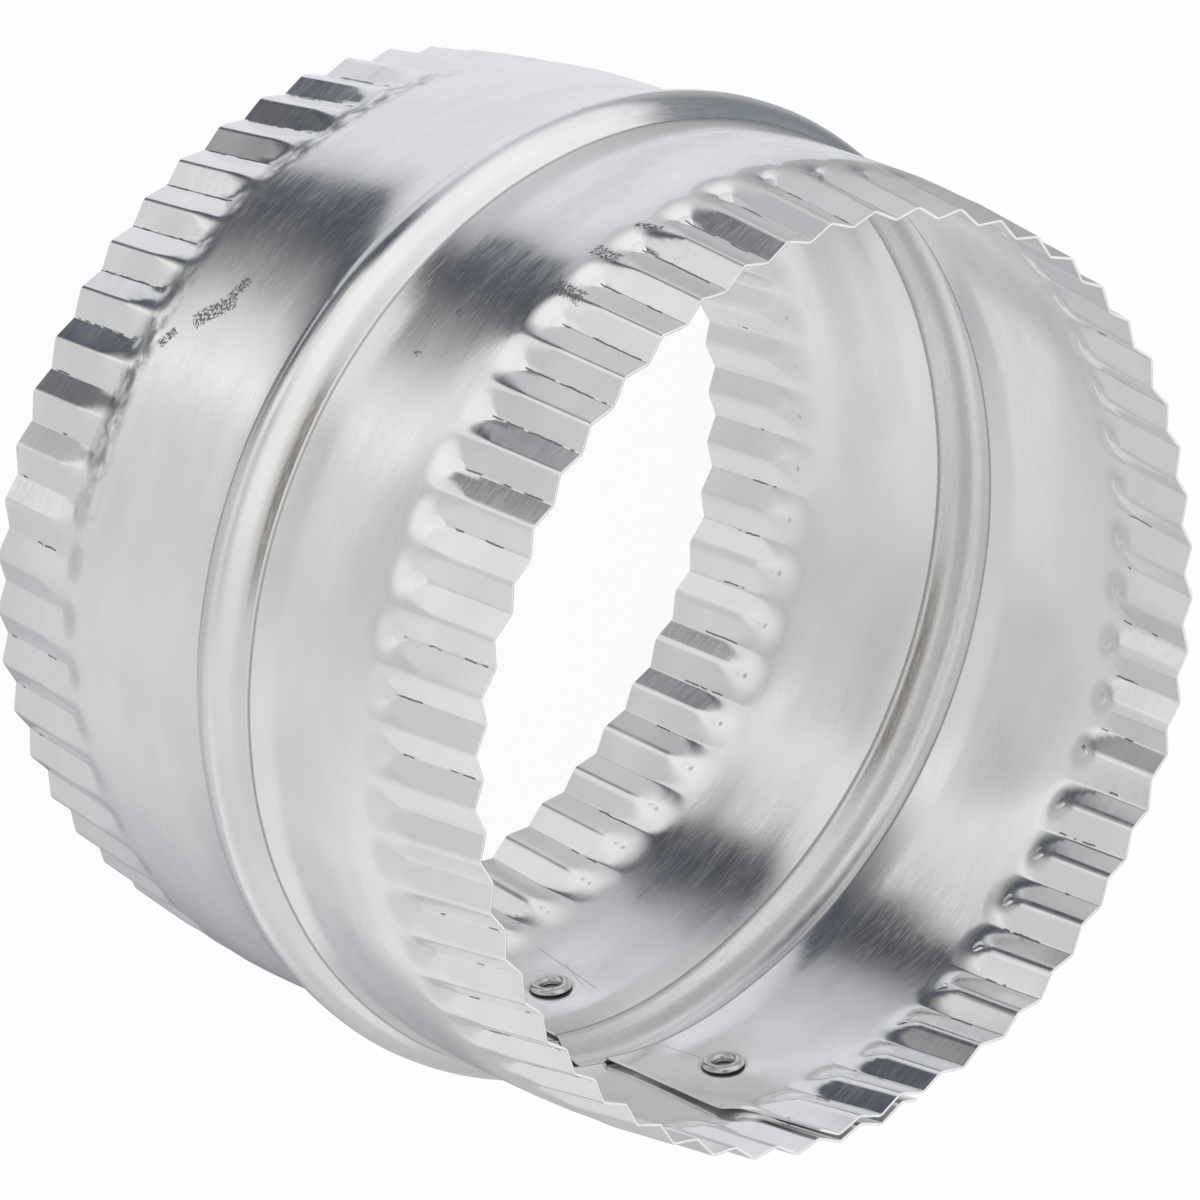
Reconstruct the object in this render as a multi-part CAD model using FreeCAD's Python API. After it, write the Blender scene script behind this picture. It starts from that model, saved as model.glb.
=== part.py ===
# Crimped duct connector: one rolled aluminium sheet with a centre bead and two crimped ends,
# lapped on itself and held by two semi-tubular rivets.
#
# The air path runs along Z. The part stands on its lower rim, with the origin at the centre
# of that rim. Lengths are in millimetres and angles in degrees, counted from +X towards +Y.
import FreeCAD
import Part
import math
import os

# Sheet and overall size
LENGTH = 76.2                # rim to rim
WALL_RADIUS = 50.8           # outside of the plain wall, for a nominal 4 in duct
SHEET = 0.3                  # thickness of the sheet

# Centre bead, pressed outward: the ducts pushed on from each end stop against it
BEAD_HEIGHT = 2.5            # crest above the wall
BEAD_CREST_RADIUS = 4.2      # outside of the crest
BEAD_FLANK = 40.0            # slope of the bead's sides

# Crimped ends: V-shaped valleys that meet in sharp ridges, drawn in to a smaller rim
CRIMP_COUNT = 53             # crimps in one full turn
CRIMP_LENGTH = 12.4          # rim to the inner end of each valley crease
CRIMP_RUNOUT = 2.4           # from there to where the slanted end runs out into the wall
CRIMP_DEPTH = 1.17           # ridge to valley at the rim
RIDGE_LENGTH = 15.4          # rim to where the sharp ridges run out into the wall
RIDGE_DRAW = 1.5             # how much the ridges draw in from the wall to the rim

# Lap seam: the sheet's inner end is drawn inside its outer end and riveted through
SEAM_ANGLE = 34.6            # where the rivets sit
INNER_MARGIN = 8.1           # rivet centre to the sheet's inner end, along the wall
OUTER_MARGIN = 5.9           # rivet centre to the sheet's outer end, along the wall
LAP_CLEARANCE = 0.05         # least gap between the two layers, on the bead's flanks
CRIMP_PHASE = 0.94           # first ridge after the rivets, measured from them
JUNCTION_CRIMPS = 14         # crimps from that ridge to where the two bends meet

# Semi-tubular rivets: a low head outside, the hollow shank rolled over inside
RIVET_SPACING = 28.0         # between the two rivets, centred on the bead
SHANK_DIAMETER = 3.2
HEAD_DIAMETER = 6.0
HEAD_HEIGHT = 1.0
HEAD_EDGE = 0.3              # height of the head's straight rim
HEAD_TOP_DIAMETER = 3.0      # flat on top of the head
CLINCH_DIAMETER = 4.6        # outside of the rolled ring
CLINCH_HEIGHT = 1.2
CLINCH_EDGE = 0.4            # slant on the ring's rolled edges
BORE_DIAMETER = 2.3          # hollow in the shank, open to the inside of the sleeve
BORE_DEPTH = 1.3             # from the top of the ring

# Worked out from the sizes above. Slopes and rises are gains in radius for each millimetre
# across a valley and away from its rim
ORIGIN = FreeCAD.Vector(0, 0, 0)
UP = FreeCAD.Vector(0, 0, 1)
MIDDLE = FreeCAD.Vector(0, 0, LENGTH / 2)
REACH = 3.0                  # how far tools run past the metal that they cut
FLANK = math.radians(BEAD_FLANK)
BEAD_CENTRE = WALL_RADIUS + BEAD_HEIGHT - BEAD_CREST_RADIUS
PITCH = 360.0 / CRIMP_COUNT
HALF_PITCH = math.radians(PITCH / 2)
RIM_RADIUS = WALL_RADIUS - RIDGE_DRAW
VALLEY_SHARE = (RIM_RADIUS - CRIMP_DEPTH) / RIM_RADIUS
CRIMP_SLOPE = (math.cos(HALF_PITCH) - VALLEY_SHARE) / math.sin(HALF_PITCH)
CREASE_RISE = RIDGE_DRAW / RIDGE_LENGTH * VALLEY_SHARE
CREASE_END_RADIUS = RIM_RADIUS - CRIMP_DEPTH + CREASE_RISE * CRIMP_LENGTH
END_RISE = (WALL_RADIUS - CREASE_END_RADIUS) / CRIMP_RUNOUT
JUNCTION = SEAM_ANGLE + CRIMP_PHASE + JUNCTION_CRIMPS * PITCH
LAP_DRAW = (SHEET + LAP_CLEARANCE) / math.cos(FLANK)
INNER_END = SEAM_ANGLE - math.degrees(INNER_MARGIN / WALL_RADIUS)
OUTER_END = SEAM_ANGLE + math.degrees(OUTER_MARGIN / WALL_RADIUS)


def polar(radius, angle):
    """Point in the plane z = 0 at an angle in degrees."""
    turn = math.radians(angle)
    return FreeCAD.Vector(radius * math.cos(turn), radius * math.sin(turn), 0)


def in_section(radius, height):
    """Point of the sheet's section, which is drawn in the plane y = 0."""
    return FreeCAD.Vector(radius, 0, height)


class Bend:
    """One circular stretch of the rolled sheet, with its own centre and radius.

    The main bend is centred on the axis. The inner end is drawn onto a slightly smaller
    circle that is tangent to the main one at the junction, so the lap closes smoothly.
    """

    def __init__(self, draw, start, end):
        """draw: how much smaller the circle is. start, end: directions from the axis."""
        self.draw = draw
        self.centre = polar(draw, JUNCTION)
        self.start = start
        self.end = end

    def turn(self, angle):
        """Angle about this bend's centre of the wall point seen at an angle from the axis."""
        off_centre = self.draw / (WALL_RADIUS - self.draw)
        return angle - math.degrees(math.asin(off_centre * math.sin(math.radians(JUNCTION - angle))))

    def place(self, shape, angle):
        """Copy of a shape made at angle 0 of the main circle, moved to this bend."""
        placed = shape.copy()
        placed.translate(FreeCAD.Vector(-self.draw, 0, 0))
        placed.rotate(ORIGIN, UP, self.turn(angle))
        placed.translate(self.centre)
        return placed

    def revolve(self, face):
        """Solid swept by a section face along this bend."""
        sweep = self.turn(self.end) - self.turn(self.start)
        return self.place(face, self.start).revolve(self.centre, UP, sweep)

    def inner_reach(self):
        """Distance from the axis to the sheet's inside, at the rivets."""
        away = math.radians(JUNCTION - SEAM_ANGLE)
        inside = WALL_RADIUS - self.draw - SHEET
        return self.draw * math.cos(away) + math.sqrt(inside ** 2 - (self.draw * math.sin(away)) ** 2)


MAIN_BEND = Bend(0.0, JUNCTION, OUTER_END + 360.0)
INNER_BEND = Bend(LAP_DRAW, INNER_END, JUNCTION)


def wall_foot(inset):
    """Where the plain wall meets the bead, on a face at an inset inward: radius and height."""
    radius = WALL_RADIUS - inset
    to_flank = radius - BEAD_CENTRE - (BEAD_CREST_RADIUS - inset) / math.cos(FLANK)
    return in_section(radius, LENGTH / 2 + to_flank / math.tan(FLANK))


def filled_section(inset):
    """Face between the sheet's outline, without crimps, and a core inside it."""
    crest = BEAD_CREST_RADIUS - inset
    core = RIM_RADIUS - CRIMP_DEPTH - 2 * REACH
    crest_start = in_section(BEAD_CENTRE + crest * math.cos(FLANK), LENGTH / 2 - crest * math.sin(FLANK))
    crown = in_section(BEAD_CENTRE + crest, LENGTH / 2)
    lower = [in_section(core, 0), in_section(WALL_RADIUS - inset, 0), wall_foot(inset), crest_start]
    upper = [in_section(point.x, LENGTH - point.z) for point in reversed(lower)]
    arc = Part.Arc(crest_start, crown, upper[0]).toShape()
    sides = Part.makePolygon(lower).Edges + Part.makePolygon(upper + lower[:1]).Edges
    return Part.Face(Part.Wire(Part.__sortEdges__(sides + [arc])))


def flat(*corners):
    """Flat face with the given corners."""
    return Part.Face(Part.makePolygon(corners + corners[:1]))


def crimp_press(inset):
    """V-shaped press with a slanted inner end, for one valley of the lower rim, at angle 0."""
    end = CRIMP_LENGTH + CRIMP_RUNOUT + REACH
    length = end + REACH
    depth = CRIMP_DEPTH + REACH
    spread = depth / CRIMP_SLOPE

    drop = inset * math.sqrt(1 + CRIMP_SLOPE ** 2 + CREASE_RISE ** 2)
    crease = in_section(CREASE_END_RADIUS - CREASE_RISE * (CRIMP_LENGTH + REACH) - drop, -REACH)
    section = flat(crease, crease + FreeCAD.Vector(depth, spread, 0), crease + FreeCAD.Vector(depth, -spread, 0))
    trough = section.extrude(FreeCAD.Vector(CREASE_RISE, 0, 1) * length)

    drop = inset * math.sqrt(1 + END_RISE ** 2)
    low = in_section(CREASE_END_RADIUS - END_RISE * (CRIMP_LENGTH + REACH) - drop, -REACH)
    high = in_section(low.x + END_RISE * length, end)
    slant = flat(low, high, in_section(high.x, -REACH))
    slant.translate(FreeCAD.Vector(0, -spread, 0))
    return trough.common(slant.extrude(FreeCAD.Vector(0, 2 * spread, 0)))


def crimp_angles(bend):
    """Directions of the valleys that touch a bend, counted from the junction."""
    angles = []
    step = 1 if bend.end > JUNCTION else -1
    far_end = bend.end if step > 0 else bend.start
    angle = JUNCTION + step * PITCH / 2
    while step * (far_end - angle) > -PITCH / 2:
        angles.append(angle)
        angle += step * PITCH
    return angles


def crimped_form(bend, inset):
    """Solid body whose outside is one face of the sheet along a bend, both rims crimped."""
    lower = crimp_press(inset)
    upper = lower.mirror(MIDDLE, UP)
    presses = [bend.place(press, angle) for angle in crimp_angles(bend) for press in (lower, upper)]
    return bend.revolve(filled_section(inset)).cut(presses)


def sheet_along(bend):
    """The crimped sheet of one bend: its outside form less its inside form."""
    return crimped_form(bend, 0.0).cut(crimped_form(bend, SHEET))


def rivet_heights():
    """Heights of the lower and the upper rivet."""
    return LENGTH / 2 - RIVET_SPACING / 2, LENGTH / 2 + RIVET_SPACING / 2


def along_rivet(shape, height):
    """Copy of a shape made about the X axis, turned to the seam and raised to a rivet."""
    placed = shape.copy()
    placed.rotate(ORIGIN, UP, SEAM_ANGLE)
    placed.translate(FreeCAD.Vector(0, 0, height))
    return placed


def rod(diameter, start, end):
    """Round rod about the X axis between two distances from the sleeve's axis."""
    return Part.makeCylinder(diameter / 2, end - start, FreeCAD.Vector(start, 0, 0), FreeCAD.Vector(1, 0, 0))


def duct_sleeve():
    """The rolled, lapped and crimped sheet, with its two rivet holes."""
    sleeve = sheet_along(MAIN_BEND).fuse(sheet_along(INNER_BEND))
    hole = rod(SHANK_DIAMETER, WALL_RADIUS - 2 * REACH, WALL_RADIUS + REACH)
    return sleeve.cut([along_rivet(hole, height) for height in rivet_heights()])


def outer_head():
    """Low head with a slanted edge that follows the round wall outside."""
    slant = HEAD_HEIGHT - HEAD_EDGE
    disc = rod(HEAD_DIAMETER, WALL_RADIUS - REACH, WALL_RADIUS + HEAD_EDGE)
    cone = Part.makeCone(HEAD_DIAMETER / 2, HEAD_TOP_DIAMETER / 2, slant,
                         FreeCAD.Vector(WALL_RADIUS + HEAD_EDGE, 0, 0), FreeCAD.Vector(1, 0, 0))
    wall = Part.makeCylinder(WALL_RADIUS, LENGTH, FreeCAD.Vector(0, 0, -LENGTH / 2))
    return disc.fuse(cone).cut(wall)


def inside_of_lap():
    """Round body that fills the sleeve up to the inner layer of the lap."""
    body = Part.makeCylinder(WALL_RADIUS - INNER_BEND.draw - SHEET, LENGTH, FreeCAD.Vector(0, 0, -LENGTH / 2))
    body.translate(polar(INNER_BEND.draw, JUNCTION - SEAM_ANGLE))
    return body


def rivet(height):
    """One semi-tubular rivet, head outside and rolled hollow ring inside, at a height."""
    seat = INNER_BEND.inner_reach()
    top = seat - CLINCH_HEIGHT
    ring = rod(CLINCH_DIAMETER, top, seat + REACH).common(inside_of_lap())
    shank = rod(SHANK_DIAMETER, seat - CLINCH_HEIGHT / 2, WALL_RADIUS + HEAD_EDGE)
    hollow = rod(BORE_DIAMETER, top - REACH, top + BORE_DEPTH)
    body = ring.fuse([shank, outer_head()]).cut(hollow)
    rolled_edges = [edge for edge in body.Edges if edge.BoundBox.XMax < top + CLINCH_EDGE / 2]
    return along_rivet(body.makeChamfer(CLINCH_EDGE, rolled_edges), height)


def save(name, shape):
    """Write one node as a STEP file."""
    shape.exportStep(os.path.join("parts", name + ".step"))
    print(name, shape.ShapeType, len(shape.Solids), "volume", round(shape.Volume, 2), shape.isValid())


def main():
    os.makedirs("parts", exist_ok=True)
    lower, upper = rivet_heights()
    save("duct_sleeve", duct_sleeve())
    save("lower_rivet", rivet(lower))
    save("upper_rivet", rivet(upper))


main()
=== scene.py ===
"""Looks of the crimped duct connector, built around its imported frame.

The sleeve and its two rivets are modelled here as fine meshes that stand for the frame's
nodes. Lengths are in metres, written as millimetres times MM, and angles are in degrees,
counted from +X towards +Y about the sleeve's axis.
"""

import logging
import math
from dataclasses import dataclass
from enum import Enum
from functools import partial, reduce

import bpy
import numpy as np
from bpy.types import ID, Material, Mesh, Node, Object
from bpy.types import NodeSocket as Socket
from mathutils import Matrix, Vector
from numpy import ndarray as Array


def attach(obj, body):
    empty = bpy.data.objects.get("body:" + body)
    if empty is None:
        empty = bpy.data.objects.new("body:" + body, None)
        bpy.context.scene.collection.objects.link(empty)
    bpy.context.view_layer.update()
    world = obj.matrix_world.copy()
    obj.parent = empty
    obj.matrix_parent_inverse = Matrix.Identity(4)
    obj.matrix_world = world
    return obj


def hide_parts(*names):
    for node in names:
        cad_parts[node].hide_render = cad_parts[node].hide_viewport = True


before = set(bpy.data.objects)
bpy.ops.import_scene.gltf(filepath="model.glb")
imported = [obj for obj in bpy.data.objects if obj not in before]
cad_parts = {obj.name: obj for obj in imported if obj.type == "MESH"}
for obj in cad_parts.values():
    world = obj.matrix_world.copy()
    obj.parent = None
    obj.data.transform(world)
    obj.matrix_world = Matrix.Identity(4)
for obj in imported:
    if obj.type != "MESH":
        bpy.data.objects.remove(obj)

log = logging.getLogger("duct_connector")

MM = 0.001
MICROMETRE = 1e-6
BODY = "root"
RIVET_PIECES = ("lower_lap_rivet", "upper_lap_rivet")
RIVET_NODES = ("lower_rivet", "upper_rivet")

NOISE_ROUGHNESS = 0.55
BLACK = (0.0, 0.0, 0.0)
WHITE = (1.0, 1.0, 1.0)
# Painted crevice shade: deep reflections glow with this dark tone where their last ray was shorter
# than this reach.
PAINTED_CREVICE_REACH = (0.5 * MM, 1.8 * MM)
PAINTED_CREVICE_SHADE = (0.02, 0.02, 0.022)


class Side(Enum):
    """The two faces of the sheet."""

    OUTSIDE = 1
    INSIDE = -1


@dataclass(frozen=True)
class Fold:
    """How softly one face of the sheet turns at the crimps' folds.

    Args:
        ridge: half width of the turn at a ridge.
        valley: half width of the turn at a valley.
    """

    ridge: float
    valley: float


class Reach(Enum):
    """How far along the sleeve a swell of the sheet goes."""

    UPPER_RIM = "upper rim"
    LOWER_RIM = "lower rim"
    WHOLE = "whole length"


@dataclass(frozen=True)
class Swell:
    """A gentle swell or dent of the rolled sheet.

    Args:
        angle: its middle.
        width: its half width, in degrees.
        rise: how far the sheet stands out there, or in where negative.
        reach: which part of the sleeve it runs along.
        one_layer: whether only the stretch of sheet at that very angle follows it, and not
            the other layer of the lap.
    """

    angle: float
    width: float
    rise: float
    reach: Reach
    one_layer: bool = True


def soft_abs(x: Array, reach: float) -> Array:
    """Absolute value, rounded off within a reach of zero."""
    return np.where(np.abs(x) < reach, (x * x + reach * reach) / (2 * reach), np.abs(x))


def soft_min(a: Array, b: Array, reach: float) -> Array:
    """Lesser of two arrays, with the change-over rounded off within a reach."""
    return (a + b - soft_abs(a - b, reach)) / 2


def quads(a: Array, b: Array, c: Array, d: Array) -> Array:
    """Faces of four corners each, from an array for each corner."""
    return np.stack([a, b, c, d], axis=-1)


def smooth_step(x: Array) -> Array:
    """Smooth rise from 0 at x = 0 to 1 at x = 1."""
    x = np.clip(x, 0.0, 1.0)
    return x * x * (3 - 2 * x)


def link_data(name: str, data: ID) -> Object:
    """Make an object of a mesh or a camera, and link it into the scene."""
    made = bpy.data.objects.new(name, data)
    bpy.context.scene.collection.objects.link(made)
    return made


def smooth_mesh(name: str, vertices: list, faces: list) -> Mesh:
    """Make a smooth-shaded mesh of points and lists of vertex numbers."""
    mesh = bpy.data.meshes.new(name)
    mesh.from_pydata(vertices, [], faces)
    mesh.polygons.foreach_set("use_smooth", [True] * len(mesh.polygons))
    return mesh


@dataclass
class DuctSleeve:
    """The beaded, crimped, rolled and lapped sheet.

    Its two faces are given by formulas of the angle along the sheet and the height, so the
    folds stay crisp and every corner normal is true.
    """

    length: float = 76.2 * MM
    wall_radius: float = 50.8 * MM
    sheet: float = 0.3 * MM

    bead_height: float = 2.07 * MM
    bead_crest: float = 4.6 * MM
    bead_foot: float = 0.3 * MM
    bead_flank: float = 44.0
    bead_offset: float = 0.8 * MM
    bead_tilt: float = 0.4 * MM
    bead_flare: tuple = (0.12 * MM, 0.75 * MM)
    askew_reach: float = 12.0 * MM

    crimps: int = 53
    crease_length: float = 11.9 * MM
    end_round: float = 0.8 * MM
    runouts: tuple = (3.9 * MM, 3.4 * MM)
    inner_runouts: tuple = (6.4 * MM, 5.6 * MM)
    inner_crease_cut: float = 2.5 * MM
    end_power: float = 2.6
    crimp_depth: float = 1.17 * MM
    ridge_draw: float = 1.5 * MM
    land_start: float = 9.2 * MM
    land_width: float = 0.9 * MM
    taper_length: float = 16.0 * MM
    shoulder: float = 3.5 * MM
    seed: int = 53
    lap_presses: int = 10
    press_spread: tuple = (0.28 * MM, 0.035 * MM, 0.05)

    seam_angle: float = 34.6
    first_ridge: float = 35.54
    junction_crimps: int = 14
    lap_draw: float = 0.44 * MM
    inner_margin: float = 8.1 * MM
    outer_margin: float = 5.9 * MM
    rivet_heights: tuple = (24.1 * MM, 52.1 * MM)
    rivet_dimple: float = 0.12 * MM
    dimple_width: float = 3.4 * MM

    outside_fold: Fold = Fold(0.46 * MM, 0.07 * MM)
    inside_fold: Fold = Fold(0.12 * MM, 0.46 * MM)
    end_fold: float = 0.35 * MM
    edge_reach: tuple = (0.07 * MM, 0.6 * MM)
    softening: tuple = (7.5 * MM, 12.5 * MM)
    swells: tuple = (
        Swell(34.6, 14.0, 0.55 * MM, Reach.WHOLE, one_layer=False),
        Swell(185.0, 30.0, 0.25 * MM, Reach.WHOLE),
        Swell(345.0, 22.0, -0.3 * MM, Reach.WHOLE),
        Swell(38.5, 6.0, -0.5 * MM, Reach.UPPER_RIM),
        Swell(61.0, 11.0, 1.0 * MM, Reach.UPPER_RIM),
        Swell(126.0, 24.0, -1.0 * MM, Reach.UPPER_RIM),
        Swell(212.0, 24.0, 0.4 * MM, Reach.UPPER_RIM),
        Swell(274.0, 8.0, -0.3 * MM, Reach.UPPER_RIM),
        Swell(320.0, 20.0, -0.55 * MM, Reach.UPPER_RIM),
        Swell(373.0, 15.0, 0.8 * MM, Reach.UPPER_RIM),
        Swell(90.0, 25.0, 0.3 * MM, Reach.LOWER_RIM),
        Swell(190.0, 22.0, -0.4 * MM, Reach.LOWER_RIM),
        Swell(300.0, 25.0, 0.4 * MM, Reach.LOWER_RIM),
    )
    swell_fade: float = 24.0 * MM
    edge_round: float = 0.8
    ripples: int = 9
    ripple_height: float = 0.009 * MM
    ripple_lengths: tuple = (9.0 * MM, 26.0 * MM)

    column_steps: tuple = (0.0, 0.06, 0.16, 0.32, 0.52, 0.74, 0.95)
    least_column: float = 0.05
    rim_rows: tuple = (0.0, 0.5, 2.4, 4.6, 6.6, 8.2, 9.4, 10.2, 10.8, 11.3, 11.7, 12.1, 12.5,
                       12.9, 13.3, 13.7, 14.1, 14.5, 15.0, 15.6, 16.4, 17.6)
    wall_rows: tuple = (19.4, 22.0, 25.5, 29.5)
    bead_rows: tuple = (1.04, 0.97, 0.92, 0.86, 0.80, 0.70, 0.58, 0.45, 0.33, 0.21, 0.10)

    def __post_init__(self) -> None:
        """Work out the angles and slopes that follow from the sizes."""
        self.pitch = math.radians(360.0 / self.crimps)
        self.start = self.seam_angle - math.degrees(self.inner_margin / self.wall_radius)
        self.end = self.seam_angle + math.degrees(self.outer_margin / self.wall_radius) + 360.0
        self.junction = self.first_ridge + self.junction_crimps * math.degrees(self.pitch)
        self.rim_radius = self.wall_radius - self.ridge_draw
        self.valley_share = (self.rim_radius - self.crimp_depth) / self.rim_radius
        half = self.pitch / 2
        self.slope = (math.cos(half) - self.valley_share) / math.sin(half)
        self.land_rise = self.land_width / 2 * self.slope / (self.crease_length - self.land_start)
        self.taper_rise = (self.ridge_draw - self.land_rise * self.land_start) / self.taper_length
        self.crease_rise = (self.taper_rise + self.land_rise) * self.valley_share
        narrowing = (1 / self.valley_share - 1) * self.crease_rise * self.crease_length
        end_width = (self.crimp_depth - narrowing) / self.slope / self.wall_radius
        self.faces = {Side.OUTSIDE: (self.outside_fold, 0.0),
                      Side.INSIDE: (self.inside_fold, self.sheet)}
        self.end_turns = {Side.OUTSIDE: end_width / np.array(self.runouts),
                          Side.INSIDE: end_width / np.array(self.inner_runouts)}
        flank = math.radians(self.bead_flank)
        bends = self.bead_crest + self.bead_foot
        self.flank_run = (self.bead_height - bends * (1 - math.cos(flank))) / math.sin(flank)
        self.bead_half_width = bends * math.sin(flank) + self.flank_run * math.cos(flank)

        random = np.random.default_rng(self.seed)
        each_press = (2, self.crimps + self.lap_presses)
        length_spread, depth_spread, lean_spread = self.press_spread
        self.press_length = random.normal(0, length_spread, each_press)
        self.press_depth = random.normal(0, depth_spread, each_press)
        self.press_lean = random.normal(0, lean_spread, each_press)
        turns_per_metre = 2 * math.pi / random.uniform(*self.ripple_lengths, self.ripples)
        heading = random.uniform(0, math.pi, self.ripples)
        phase = random.uniform(0, 2 * math.pi, self.ripples)
        waves = (turns_per_metre * np.cos(heading), turns_per_metre * np.sin(heading), phase)
        self.ripple_waves = np.stack(waves, axis=-1)

    def from_rim(self, height: Array) -> Array:
        """Distance along the axis from the nearer rim."""
        return np.minimum(height, self.length - height)

    def bead_middle(self, angle: Array) -> Array:
        """Height of the bead's middle, which is rolled in a little askew."""
        return self.length / 2 + self.bead_offset - self.bead_tilt * np.sin(np.radians(angle))

    def bead(self, across: Array, inset: float) -> Array:
        """Height of the bead above the wall, on a face at an inset inward.

        Args:
            across: distance from the bead's middle.
            inset: depth of the face below the outside.

        Returns:
            Height of that face above the plain wall of the same face.
        """
        flank = math.radians(self.bead_flank)
        crest = self.bead_crest - inset
        foot = self.bead_foot + inset
        across = np.abs(across)
        crest_end = crest * math.sin(flank)
        foot_start = self.bead_half_width - foot * math.sin(flank)
        crest_height = self.bead_height - crest + np.sqrt(np.maximum(crest ** 2 - across ** 2, 0))
        into_foot = np.clip(self.bead_half_width - across, 0, foot)
        foot_height = foot - np.sqrt(np.maximum(foot ** 2 - into_foot ** 2, 0))
        flank_height = (self.bead_height - crest * (1 - math.cos(flank))
                        - (across - crest_end) * math.tan(flank))
        height = np.where(across < foot_start, flank_height, foot_height)
        height = np.where(across < crest_end, crest_height, height)
        rise, reach = self.bead_flare
        return height + rise * np.exp(-np.maximum(across - self.bead_half_width, 0) / reach)

    def press(self, number: Array, angle: Array, height: Array,
              side: Side) -> Array:
        """Radius of the V-shaped trough that one crimp's press leaves.

        Args:
            number: which valley, counted from the first one after the first ridge.
            angle: angle along the sheet.
            height: height above the lower rim.
            side: which face of the sheet.

        Returns:
            The radius of the trough's face, which grows away from its crease.
        """
        fold, inset = self.faces[side]
        rim = (height > self.length / 2).astype(int)
        from_rim = self.from_rim(height)
        sideways = np.radians(angle - self.first_ridge) - (number + 0.5) * self.pitch

        turn = fold.valley + (self.end_fold - fold.valley) * self.softness(from_rim)
        away = soft_abs(sideways, turn / self.wall_radius)
        past_end = from_rim - self.crease_length - self.press_length[rim, number]
        past_end = past_end + (0.0 if side is Side.OUTSIDE else self.inner_crease_cut)
        past_end = (past_end + soft_abs(past_end, self.end_round)) / 2
        power = self.end_power
        away = (away ** power + (self.end_turns[side][rim] * past_end) ** power) ** (1 / power)
        slope = self.slope * (1 + self.press_lean[rim, number] * sideways / away)

        drop = inset * math.sqrt(1 + self.slope ** 2 + self.crease_rise ** 2)
        crease = self.rim_radius - self.crimp_depth - self.press_depth[rim, number]
        crease = crease + self.crease_rise * from_rim - drop
        return crease / (np.cos(away) - slope * np.sin(away))

    def softness(self, from_rim: Array) -> Array:
        """Share of the crimps' inner ends in a place: 0 near the rim, 1 past the ends."""
        start, end = self.softening
        return smooth_step((from_rim - start) / (end - start))

    def swell(self, angle: Array, height: Array) -> Array:
        """Outward shift of the sheet by its swells, dents and ripples."""
        above = self.length - height
        fades = {
            Reach.UPPER_RIM: smooth_step((self.swell_fade - above) / self.swell_fade),
            Reach.LOWER_RIM: smooth_step((self.swell_fade - height) / self.swell_fade),
            Reach.WHOLE: 1.0,
        }
        total = np.zeros_like(angle)
        for swell in self.swells:
            away = angle - swell.angle
            if not swell.one_layer:
                away = (away + 180.0) % 360.0 - 180.0
            total = total + swell.rise * np.exp(-(away / swell.width) ** 2) * fades[swell.reach]
        along = np.radians(angle) * self.wall_radius
        for across, up, phase in self.ripple_waves:
            total = total + self.ripple_height * np.sin(across * along + up * height + phase)
        return total

    def dimples(self, angle: Array, height: Array) -> Array:
        """Outward shift of the inner layer, which the rivets pull against the outer one."""
        along = np.radians(angle - self.seam_angle) * self.wall_radius
        total = np.zeros_like(angle)
        for rivet in self.rivet_heights:
            away = (along ** 2 + (height - rivet) ** 2) / self.dimple_width ** 2
            total = total + self.rivet_dimple * np.exp(-away)
        return total

    def radius(self, angle: Array, height: Array, side: Side) -> Array:
        """Distance of one face of the sheet from the axis.

        Args:
            angle: angle along the sheet, from its inner end to its outer end.
            height: height above the lower rim.
            side: which face.

        Returns:
            The radius at each place.
        """
        fold, inset = self.faces[side]
        from_rim = self.from_rim(height)

        draw_in = self.taper_length - from_rim
        draw_in = self.taper_rise * (draw_in + soft_abs(draw_in, self.shoulder)) / 2
        bead = self.bead(height - self.bead_middle(angle), inset)
        wall = self.wall_radius - inset - draw_in + bead

        turns = np.radians(angle - self.first_ridge) / self.pitch - 0.5
        before = np.floor(turns).astype(int)
        troughs = [self.press(before + step, angle, height, side) for step in (0, 1)]
        pressed = soft_min(*troughs, 2 * self.slope * fold.ridge)
        at_rim, past_ends = self.edge_reach
        radius = soft_min(wall, pressed, at_rim + (past_ends - at_rim) * self.softness(from_rim))

        back = np.radians(np.maximum(self.junction - angle, 0))
        radius = radius - self.lap_draw * (1 - np.cos(back))
        return radius + self.swell(angle, height) + self.dimples(angle, height)

    def rivet_seats(self, height: float) -> tuple:
        """Radii of the seam's inner and outer faces, where a rivet's ends sit on them."""
        turns = ((self.seam_angle, Side.INSIDE), (self.seam_angle + 360.0, Side.OUTSIDE))
        return tuple(float(self.radius(np.array(a), np.array(height), side)) for a, side in turns)

    def place(self, angle: Array, height: Array, side: Side) -> Array:
        """Points of one face at the given angles and heights."""
        radius = self.radius(angle, height, side)
        turn = np.radians(angle)
        return np.stack([radius * np.cos(turn), radius * np.sin(turn), height], axis=-1)

    def normals(self, angle: Array, height: Array, side: Side) -> Array:
        """Unit normals of one face, pointing away from the sheet."""
        turn_step = 0.002
        height_step = 0.002 * MM
        inner_height = np.clip(height, height_step, self.length - height_step)
        around = (self.place(angle + turn_step, height, side)
                  - self.place(angle - turn_step, height, side))
        up = (self.place(angle, inner_height + height_step, side)
              - self.place(angle, inner_height - height_step, side))
        normal = np.cross(around, up)
        return side.value * normal / np.linalg.norm(normal, axis=-1, keepdims=True)

    def columns(self) -> Array:
        """Angles of the mesh's columns, closest together at the ridges and valleys."""
        steps = sorted(set(self.column_steps) | {-s for s in self.column_steps} | {1.0})
        pitch = math.degrees(self.pitch)
        first = math.floor((self.start - self.first_ridge) / pitch)
        last = math.ceil((self.end - self.first_ridge) / pitch)
        turns = [ridge + step / 2 for ridge in range(first, last + 1) for step in steps]
        angles = [self.first_ridge + turn * pitch for turn in turns]
        least, most = self.start + self.least_column, self.end - self.least_column
        inside = [angle for angle in angles if least < angle < most]
        return np.array([self.start, *inside, self.end])

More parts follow.
